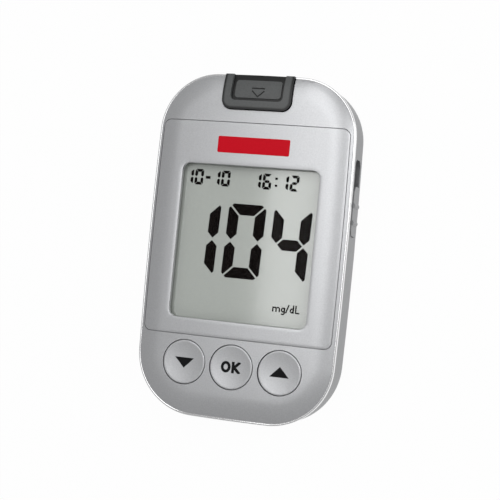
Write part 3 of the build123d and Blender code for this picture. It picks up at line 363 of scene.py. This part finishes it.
def triangle_corners(mesh):
    """The three points of each face of a mesh that has triangles only."""
    corners = np.empty(len(mesh.loops), dtype=np.int32)
    mesh.loops.foreach_get("vertex_index", corners)
    return corners.reshape(-1, 3)


def finish_piece(name, points, faces, finishes, body, marks=None, angle=35.0):
    """Mesh object from points in millimetres, smooth up to an angle, riding on a body."""
    mesh = bpy.data.meshes.new(name)
    mesh.from_pydata((points * MM).tolist(), [], faces)
    for finish in finishes:
        mesh.materials.append(finish)
    if marks is not None:
        mesh.polygons.foreach_set("material_index", marks)
    mesh.shade_smooth()
    mesh.set_sharp_from_angle(angle=math.radians(angle))
    mesh.update()
    piece = bpy.data.objects.new(name, mesh)
    bpy.context.scene.collection.objects.link(piece)
    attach(piece, body)
    return piece


def inside(points, loop):
    """Which points lie inside a closed loop: a ray towards +X crosses it an odd number of times."""
    ends = np.roll(loop, -1, axis=0)
    x = points[:, 0:1]
    y = points[:, 1:2]
    spans = (loop[:, 1] > y) != (ends[:, 1] > y)
    level = 1e-12
    rise = ends[:, 1] - loop[:, 1]
    rise = np.where(np.abs(rise) < level, level, rise)
    at = loop[:, 0] + (y - loop[:, 1]) * (ends[:, 0] - loop[:, 0]) / rise
    return (spans & (x < at)).sum(axis=1) % 2 == 1


def shrunk(loop, distance):
    """Loop moved to its left, which is inwards for a counterclockwise one, by a distance.

    At a bend a point moves further, up to twice as far, so that the sides keep their distance.
    """
    least_bend = 0.5
    ahead = np.roll(loop, -1, axis=0) - loop
    ahead /= np.linalg.norm(ahead, axis=1)[:, None]
    mean = ahead + np.roll(ahead, 1, axis=0)
    mean /= np.linalg.norm(mean, axis=1)[:, None]
    bend = np.clip((mean * ahead).sum(axis=1), least_bend, 1.0)
    left = np.stack([-mean[:, 1], mean[:, 0]], axis=1)
    return loop + left * (distance / bend)[:, None]


def rounded_loop(width, height, radius, x=0.0, y=0.0, steps=10):
    """Rounded rectangle, counterclockwise: four quarter circles joined by straight sides."""
    turn = np.linspace(0, np.pi / 2, steps)
    quarter = radius * np.stack([np.cos(turn), np.sin(turn)], axis=1)
    half = np.array([width / 2 - radius, height / 2 - radius])
    parts = []
    for corner in range(4):
        angle = corner * np.pi / 2
        spin = np.array([[math.cos(angle), math.sin(angle)], [-math.sin(angle), math.cos(angle)]])
        signs = np.array([1 if corner in (0, 3) else -1, 1 if corner < 2 else -1])
        parts.append(quarter @ spin + half * signs)
    return np.concatenate(parts) + np.array([x, y])


def divided(loop, longest):
    """Loop with points added, so that no side is longer than a length."""
    ends = np.roll(loop, -1, axis=0)
    counts = np.maximum(np.ceil(np.linalg.norm(ends - loop, axis=1) / longest).astype(int), 1)
    starts = np.repeat(loop, counts, axis=0)
    spans = np.repeat(ends - loop, counts, axis=0)
    order = np.arange(counts.sum()) - np.repeat(np.cumsum(counts) - counts, counts)
    return starts + spans * (order / np.repeat(counts, counts))[:, None]


def plate(name, outer, holes, top, bottom, edge, spacing, finishes, body):
    """Thin piece between two surfaces over a plan with holes, its upper edges rounded.

    The top is a grid of points at a spacing, joined to the loops by a Delaunay net. From
    each loop a strip turns down a quarter circle of the edge's radius, then a wall drops to
    the bottom, which has the net of the top turned over.
    """
    loops = [outer] + [hole[::-1] for hole in holes]
    inner = [shrunk(loop, edge) for loop in loops]
    low = outer.min(axis=0)
    high = outer.max(axis=0)
    grid_x, grid_y = np.meshgrid(
        np.arange(low[0], high[0], spacing), np.arange(low[1], high[1], spacing)
    )
    grid = np.stack([grid_x.ravel(), grid_y.ravel()], axis=1)
    clear = edge + 0.45 * spacing
    keep = inside(grid, shrunk(outer, clear))
    for hole in loops[1:]:
        keep &= ~inside(grid, shrunk(hole, clear))
    net = np.concatenate(inner + [grid[keep]])
    sides = []
    start = 0
    for loop in inner:
        order = start + np.arange(len(loop))
        sides.append(np.stack([order, np.roll(order, -1)], axis=1))
        start += len(loop)
    whole_hull = 0
    nearness = 1e-7
    result = delaunay_2d_cdt(net.tolist(), np.concatenate(sides).tolist(), [], whole_hull, nearness)
    faces = np.array(result[2])
    if len(result[0]) != len(net):
        raise ValueError(name + ": the net has moved points")
    middles = net[faces].mean(axis=1)
    kept = inside(middles, inner[0])
    for loop in inner[1:]:
        kept &= ~inside(middles, loop)
    faces = faces[kept]
    turn = np.cross(net[faces[:, 1]] - net[faces[:, 0]], net[faces[:, 2]] - net[faces[:, 0]])
    faces[turn < 0] = faces[turn < 0][:, ::-1]

    count = len(net)
    points = [np.column_stack([net, top(net[:, 0], net[:, 1])])]
    points.append(np.column_stack([net, bottom(net[:, 0], net[:, 1])]))
    quads = []
    base = 2 * count
    start = 0
    for loop in loops:
        size = len(loop)
        rows = [start + np.arange(size)]
        for angle in (30, 60, 90):
            turned = math.radians(angle)
            ring = shrunk(loop, edge * (1 - math.sin(turned)))
            height = top(ring[:, 0], ring[:, 1]) - edge * (1 - math.cos(turned))
            points.append(np.column_stack([ring, height]))
            rows.append(base + np.arange(size))
            base += size
        points.append(np.column_stack([loop, bottom(loop[:, 0], loop[:, 1])]))
        rows.append(base + np.arange(size))
        base += size
        rows.append(count + start + np.arange(size))
        for upper, lower in zip(rows, rows[1:]):
            quads.append(
                np.stack([upper, lower, np.roll(lower, -1), np.roll(upper, -1)], axis=1)
            )
        start += size
    walls = np.concatenate(quads)
    every = faces.tolist() + (faces[:, ::-1] + count).tolist() + walls.tolist()
    marks = np.ones(len(every), dtype=np.int32) * (len(finishes) - 1)
    marks[: len(faces)] = 0
    return finish_piece(name, np.concatenate(points), every, finishes, body, marks)


def lathe(name, profile, x, y, steps, finish, body):
    """Turned piece: a profile of radius and height carried round an upright axis, poles closed."""
    turn = np.linspace(0, 2 * np.pi, steps, endpoint=False)
    radius = profile[1:-1, 0][:, None]
    height = np.repeat(profile[1:-1, 1], steps)
    ring_x = (x + radius * np.cos(turn)).ravel()
    ring_y = (y + radius * np.sin(turn)).ravel()
    rings = np.column_stack([ring_x, ring_y, height])
    poles = np.array([[x, y, profile[0, 1]], [x, y, profile[-1, 1]]])
    points = np.concatenate([rings, poles])
    rows = len(profile) - 2
    grid = np.arange(rows * steps).reshape(rows, steps)
    ahead = np.roll(grid, -1, axis=1)
    quads = np.stack([grid[:-1], grid[1:], ahead[1:], ahead[:-1]], axis=-1).reshape(-1, 4)
    first = np.stack([np.full(steps, rows * steps), grid[0], ahead[0]], axis=1)
    last = np.stack([np.full(steps, rows * steps + 1), ahead[-1], grid[-1]], axis=1)
    faces = quads.tolist() + first.tolist() + last.tolist()
    return finish_piece(name, points, faces, [finish], body)


def smooth_copy(node, finish, body, angle=30.0):
    """A node's own surface, its points joined to the nearest micron, so that it shades smoothly.

    Triangles that this closes up are left out.
    """
    microns_per_metre = 1e6
    source = NODES[node].data
    spots = vertex_spots(source)
    microns = np.round(spots * microns_per_metre).astype(np.int64)
    first, merged = np.unique(microns, axis=0, return_index=True, return_inverse=True)[1:]
    faces = merged.ravel()[triangle_corners(source)]
    whole = (faces[:, 0] != faces[:, 1]) & (faces[:, 1] != faces[:, 2]) & (faces[:, 2] != faces[:, 0])
    points = spots[first] / MM
    kept = faces[whole].tolist()
    made = finish_piece(node + "_form", points, kept, [finish], body, angle=angle)
    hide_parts(node)
    return made


def outline_path(start_x, spacing):
    """Points on the outline of the case and their outward directions, as an open path.

    It goes clockwise from the head end at X = start_x, round the chin, to X = -start_x. On each
    arc a point is centre + radius * direction, and the arcs meet where their directions agree.
    """
    side_centre = np.array([HALF_WIDTH - SIDE_RADIUS, 0.0])
    end_centre = np.array([0.0, TOP_Y - END_RADIUS])
    head = np.array(side_meeting(HEAD_CORNER))
    chin = np.array(side_meeting(CHIN_CORNER)) * np.array([1, -1])

    def bearing(vector):
        """Angle of a direction."""
        return math.atan2(vector[1], vector[0])

    arcs = [
        (end_centre, END_RADIUS, math.acos(start_x / END_RADIUS), bearing(head - end_centre)),
        (head, HEAD_CORNER, bearing(head - end_centre), bearing(head - side_centre)),
        (side_centre, SIDE_RADIUS, bearing(head - side_centre), bearing(chin - side_centre)),
        (chin, CHIN_CORNER, bearing(chin - side_centre), bearing(chin + end_centre)),
        (-end_centre, END_RADIUS, bearing(chin + end_centre), -np.pi / 2),
    ]
    spots = []
    ways = []
    for centre, radius, first, last in arcs:
        steps = max(int(radius * abs(last - first) / spacing), 2)
        turn = np.linspace(first, last, steps, endpoint=False)
        way = np.stack([np.cos(turn), np.sin(turn)], axis=1)
        ways.append(way)
        spots.append(centre + radius * way)
    half_spots = np.concatenate(spots)
    half_ways = np.concatenate(ways)
    middle = np.array([[0.0, -TOP_Y]])
    down = np.array([[0.0, -1.0]])
    flip = np.array([-1, 1])
    path = np.concatenate([half_spots, middle, half_spots[::-1] * flip])
    outward = np.concatenate([half_ways, down, half_ways[::-1] * flip])
    return path, outward


def make_bead():
    """Bead round the face, open at the strip port.

    Its section is part of a circle of radius 0.42, centred 0.37 in from the outline. It stands
    0.05 mm proud of the wall and about 0.25 mm proud of the face, and its foot and its inner side
    are let into the shell. The section is carried along the outline, each of its points as an
    inset and a rise: the point is the outline less its inset times the outward direction.
    """
    path, outward = outline_path(start_x=10.3, spacing=0.8)
    radius = 0.42
    centre_inset = 0.37
    centre_height = 18.2
    lowest = 16.8
    arc_degrees = 150
    turn = np.radians(np.linspace(0, arc_degrees, 18))
    arc_inset = centre_inset - radius * np.cos(turn)
    arc = np.column_stack([arc_inset, radius * np.sin(turn)])
    foot = [[0.25, -1.0], [arc_inset[0], -0.9]]
    inner_side = [[0.9, -0.2], [0.6, -0.6]]
    inset, rise = np.concatenate([foot, arc, inner_side]).T
    spots = path[:, None, :] - inset[None, :, None] * outward[:, None, :]
    drop = CROWN_RADIUS - np.sqrt(CROWN_RADIUS**2 - spots[:, :, 0] ** 2)
    height = np.maximum(centre_height + rise[None, :] - drop, lowest)
    points = np.concatenate([spots, height[:, :, None]], axis=2).reshape(-1, 3)
    rows = len(path)
    columns = len(inset)
    grid = np.arange(rows * columns).reshape(rows, columns)
    ahead = np.roll(grid, -1, axis=1)
    quads = np.stack([grid[:-1], ahead[:-1], ahead[1:], grid[1:]], axis=-1).reshape(-1, 4)
    faces = quads.tolist() + [grid[0][::-1].tolist(), grid[-1].tolist()]
    finish_piece("face_edge_bead", points, faces, [BRIGHT], "case", angle=50.0)


# ---------------------------------------------------------------- pieces
# Plan of the panel, 0.12 larger all round than the CAD model has it, which narrows its seam.
PANEL_TOP_Y = 34.62
PANEL_BOTTOM_Y = -25.62
PANEL_INSET = 1.43
PANEL_CORNER = 1.92
PANEL_THICKNESS = 1.2
# Width, height and corner radius of the window's opening and of the lens behind it.
WINDOW = (40.0, 43.6, 2.2)
LENS = (41.8, 45.4, 1.0)
WINDOW_Y = 0.8
LENS_UPPER_Z = 19.25
LENS_LOWER_Z = 18.25
# The plate in the head: width, height and corner radius, its middle, and how far it stands up.
HEAD_PLATE = (20.9, 4.6, 0.4)
HEAD_PLATE_X = 0.3
HEAD_PLATE_Y = 28.3
HEAD_PLATE_RISE = 0.08
HEAD_PLATE_SINK = 0.02
# The keys from left to right, each with the X of its middle. Their middles share one Y.
KEYS = (("down", -13.9), ("ok", 0.0), ("up", 13.9))
KEY_Y = -33.4
PORT_RIM_RISE = 0.9


def panel_loop():
    """Plan of the face panel: level ends, bowed sides, and quarter circles between them."""
    turn = np.linspace(0, np.pi / 2, 10)

    def side_x(y):
        """X of the bowed side: its circle's centre plus sqrt(radius^2 - y^2)."""
        reach = SIDE_RADIUS - PANEL_INSET
        return HALF_WIDTH - SIDE_RADIUS + np.sqrt(reach**2 - y**2)

    upper_y = PANEL_TOP_Y - PANEL_CORNER
    lower_y = PANEL_BOTTOM_Y + PANEL_CORNER
    run = np.linspace(lower_y, upper_y, 60)[1:-1]
    side = np.stack([side_x(run), run], axis=1)
    upper = np.stack(
        [
            side_x(upper_y) + PANEL_CORNER * (np.cos(turn) - 1),
            upper_y + PANEL_CORNER * np.sin(turn),
        ],
        axis=1,
    )
    lower = np.stack(
        [
            side_x(lower_y) + PANEL_CORNER * (np.sin(turn) - 1),
            lower_y - PANEL_CORNER * np.cos(turn),
        ],
        axis=1,
    )
    right = np.concatenate([lower, side, upper])
    left = right[::-1] * np.array([-1, 1])
    return np.concatenate([right, left])


def make_panel():
    """Face panel with its window opening, flush with the shell."""
    piece = plate(
        "face_panel_skin",
        outer=divided(panel_loop(), longest=1.0),
        holes=[divided(rounded_loop(*WINDOW, y=WINDOW_Y), longest=1.0)],
        top=face_height,
        bottom=lambda x, y: face_height(x, y) - PANEL_THICKNESS,
        edge=0.12,
        spacing=0.9,
        finishes=[SILVER],
        body="case",
    )
    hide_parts("face_panel")


def make_lens():
    """Clear plate of the window, whose top alone mirrors."""
    piece = plate(
        "window_lens",
        outer=divided(rounded_loop(*LENS, y=WINDOW_Y), longest=3.0),
        holes=[],
        top=lambda x, y: np.full_like(x, LENS_UPPER_Z),
        bottom=lambda x, y: np.full_like(x, LENS_LOWER_Z),
        edge=0.05,
        spacing=6.0,
        finishes=[LENS_TOP, LENS_BODY],
        body="case",
    )
    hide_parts("display_window")


def make_label():
    """Plate in the head of the panel, left blank: it follows the crown, 0.08 mm proud."""
    piece = plate(
        "front_label_plate",
        outer=divided(rounded_loop(*HEAD_PLATE, HEAD_PLATE_X, HEAD_PLATE_Y), longest=0.8),
        holes=[],
        top=lambda x, y: face_height(x, y) + HEAD_PLATE_RISE,
        bottom=lambda x, y: face_height(x, y) - HEAD_PLATE_SINK,
        edge=0.05,
        spacing=0.8,
        finishes=[RED],
        body="case",
    )
    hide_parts("front_label")


def make_button(kind, x):
    """Round key: a shallow dish of radius 60, a rounded edge, a straight side and a flange."""
    top = FACE_Z - (CROWN_RADIUS - math.sqrt(CROWN_RADIUS**2 - x**2))
    radius = 6.15
    edge = 0.25
    dish_radius = 60.0
    dish_depth = 0.27
    flange_radius = 6.75
    flange_z = 17.2
    bottom = 16.3
    around = 96
    reach = math.sqrt(2 * dish_radius * dish_depth - dish_depth**2)
    bowl_r = np.linspace(0, reach, 24)
    bowl_z = top - dish_depth + dish_radius - np.sqrt(dish_radius**2 - bowl_r**2)
    turn = np.linspace(0, np.pi / 2, 7)
    edge_r = radius - edge + edge * np.sin(turn)
    edge_z = top - edge + edge * np.cos(turn)
    rest_r = np.array([radius, flange_radius, flange_radius, 0.0])
    rest_z = np.array([flange_z, flange_z, bottom, bottom])
    profile = np.column_stack(
        [np.concatenate([bowl_r, edge_r, rest_r]), np.concatenate([bowl_z, edge_z, rest_z])]
    )
    name = "button_" + kind + "_cap"
    piece = lathe(name, profile, x, KEY_Y, around, SILVER, kind + "_key")
    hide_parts("button_" + kind)


def make_port_guide():
    """Port guide, whose attribute sunk is the depth of each point under its rim, for painted shade."""
    mesh = smooth_copy("strip_port_guide", DARK, "case").data
    spots = vertex_spots(mesh) / MM
    rim_height = face_height(spots[:, 0], spots[:, 1]) + PORT_RIM_RISE
    sunk = mesh.attributes.new("sunk", "FLOAT", "POINT")
    sunk.data.foreach_set("value", rim_height - spots[:, 2])


def make_figures():
    """Segments of the display, with the small ones, in the top row, drawn a little bolder.

    Each joined group of faces is one segment. Its short direction is the one along which its
    points spread least, and it grows by a fifth along that direction about its middle.
    """
    growth = 0.2
    top_row_y = 15.0 * MM
    mesh = smooth_copy("lcd_segments", INK, "case").data
    spots = vertex_spots(mesh)
    corners = triangle_corners(mesh)
    group = np.arange(len(spots))
    changed = True
    while changed:
        lowest = group.copy()
        np.minimum.at(lowest, corners, group[corners].min(axis=1)[:, None])
        changed = bool((lowest != group).any())
        group = lowest
    for number in np.unique(group):
        part = group == number
        plan = spots[part, :2]
        away = plan - plan.mean(axis=0)
        if plan[:, 1].min() > top_row_y:
            short = np.linalg.svd(away, full_matrices=False)[2][1]
            spots[part, :2] += growth * (away @ short)[:, None] * short
    mesh.vertices.foreach_set("co", spots.ravel())
    mesh.update()


def make_springy_pieces():
    """Smooth copies of the domes under the keys and of the ejector's spring, each with its own mesh.

    The real ones flatten as their joint moves, by 0.6 of 0.9 mm and by 7 of 12.49 mm; nothing here bends
    them.
    """
    for kind, x in KEYS:
        dome = smooth_copy("key_dome_" + kind, RUBBER, "case")
        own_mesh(dome)
    spring = smooth_copy("ejector_spring", STEEL, "case")
    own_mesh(spring)


make_panel()
make_lens()
make_label()
for kind, x in KEYS:
    make_button(kind, x)
smooth_copy("front_shell", SILVER, "case")
smooth_copy("rear_shell", SILVER_BACK, "case")
smooth_copy("battery_cover", SILVER_BACK, "cover")
smooth_copy("ejector_slider", SILVER_BACK, "ejector")
make_bead()
make_port_guide()
make_figures()
make_springy_pieces()


# ---------------------------------------------------------------- light and floor
def add_softbox(name, place, target, size, radiance):
    """Rectangular lamp at a place in millimetres, turned towards a target."""
    data = bpy.data.lights.new(name, "AREA")
    data.shape = "RECTANGLE"
    data.size = size[0] * MM
    data.size_y = size[1] * MM
    data.energy = radiance * math.pi * data.size * data.size_y
    lamp = bpy.data.objects.new(name, data)
    away = (Vector(place) - Vector(target)) * MM
    turn = away.to_track_quat("Z", "Y").to_matrix().to_4x4()
    lamp.matrix_world = Matrix.Translation(Vector(place) * MM) @ turn
    bpy.context.scene.collection.objects.link(lamp)


def seen_rays(tree):
    """One where a camera, mirror or see-through ray looks, and zero for light on the object."""
    rays = add(tree, "ShaderNodeLightPath")
    either = add(
        tree,
        "ShaderNodeMath",
        links={0: rays.outputs["Is Camera Ray"], 1: rays.outputs["Is Glossy Ray"]},
        operation="MAXIMUM",
    )
    return add(
        tree,
        "ShaderNodeMath",
        links={0: either.outputs[0], 1: rays.outputs["Is Transmission Ray"]},
        operation="MAXIMUM",
    )


def add_world(level):
    """Even light, with plain white where the camera looks past the floor."""
    world = bpy.data.worlds.new("studio")
    bpy.context.scene.world = world
    world.use_nodes = True
    tree = world.node_tree
    tree.nodes.clear()
    rays = add(tree, "ShaderNodeLightPath")
    plain = add(tree, "ShaderNodeBackground", {"Color": (1, 1, 1, 1), "Strength": level})
    white = add(tree, "ShaderNodeBackground", {"Color": (1, 1, 1, 1), "Strength": 1.0})
    mix = add(
        tree,
        "ShaderNodeMixShader",
        links={0: rays.outputs["Is Camera Ray"], 1: plain.outputs[0], 2: white.outputs[0]},
    )
    add(tree, "ShaderNodeOutputWorld", links={"Surface": mix.outputs[0]})


def add_floor(paper_share):
    """White paper floor, 6 m across, which shines white where it is looked at.

    There only the share given is left to the paper itself, which keeps a trace of the shadow.
    """
    mesh = bpy.data.meshes.new("floor")
    reach = 3.0
    corners = [(-reach, -reach, 0), (reach, -reach, 0), (reach, reach, 0), (-reach, reach, 0)]
    mesh.from_pydata(corners, [], [(0, 1, 2, 3)])
    floor = bpy.data.objects.new("floor", mesh)
    bpy.context.scene.collection.objects.link(floor)
    paper = material("studio_paper", "#f4f4f4", 0.9)
    tree = paper.node_tree
    shader = tree.nodes["Principled BSDF"]
    glow = add(tree, "ShaderNodeEmission", {"Color": (1, 1, 1, 1), "Strength": 1.0})
    seen = seen_rays(tree)
    share = add(tree, "ShaderNodeMath", {1: 1 - paper_share}, {0: seen.outputs[0]}, operation="MULTIPLY")
    mix = add(
        tree,
        "ShaderNodeMixShader",
        links={0: share.outputs[0], 1: shader.outputs[0], 2: glow.outputs[0]},
    )
    tree.links.new(mix.outputs[0], tree.nodes["Material Output"].inputs["Surface"])
    mesh.materials.append(paper)


add_camera()
add_world(level=0.4)
add_floor(paper_share=0.03)
add_softbox(
    "overhead_box", place=(-22, 510, 900), target=(-22, 510, 0), size=(460, 1180), radiance=1.85
)
add_softbox("roof_box", place=(520, 260, 900), target=(520, 260, 0), size=(560, 900), radiance=0.15)
add_softbox("right_box", place=(720, 250, 560), target=(0, 0, 15), size=(330, 760), radiance=2.6)

bpy.context.scene.view_settings.view_transform = "Standard"
